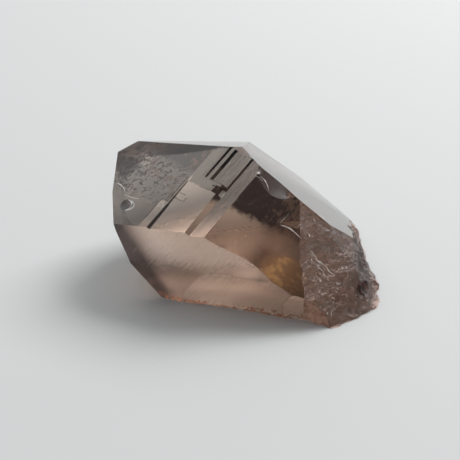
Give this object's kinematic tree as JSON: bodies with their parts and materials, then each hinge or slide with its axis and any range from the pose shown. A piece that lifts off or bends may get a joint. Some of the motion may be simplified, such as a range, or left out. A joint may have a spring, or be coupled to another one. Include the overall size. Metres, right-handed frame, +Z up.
{
  "type": "smoky quartz crystal point",
  "caption": "Single smoky quartz point with a blunt faceted tip, stepped growth faces and a rough broken base, lying at rest as a display or prop specimen.",
  "frame": {"origin": "centre of the crystal's bounding box in plan, at the surface that it lies on", "axes": "+Z up from the resting surface; the tip end toward -X, the broken base toward +X; -Y is the side that the picture shows"},
  "size_m": [0.0622, 0.0546, 0.0313],
  "materials": {
    "smoky_quartz": "clear brown crystal with glossy growth faces and a rough, glittering break"
  },
  "bodies": {
    "root": {"smoky_quartz_crystal": "smoky_quartz"}
  },
  "joints": []
}
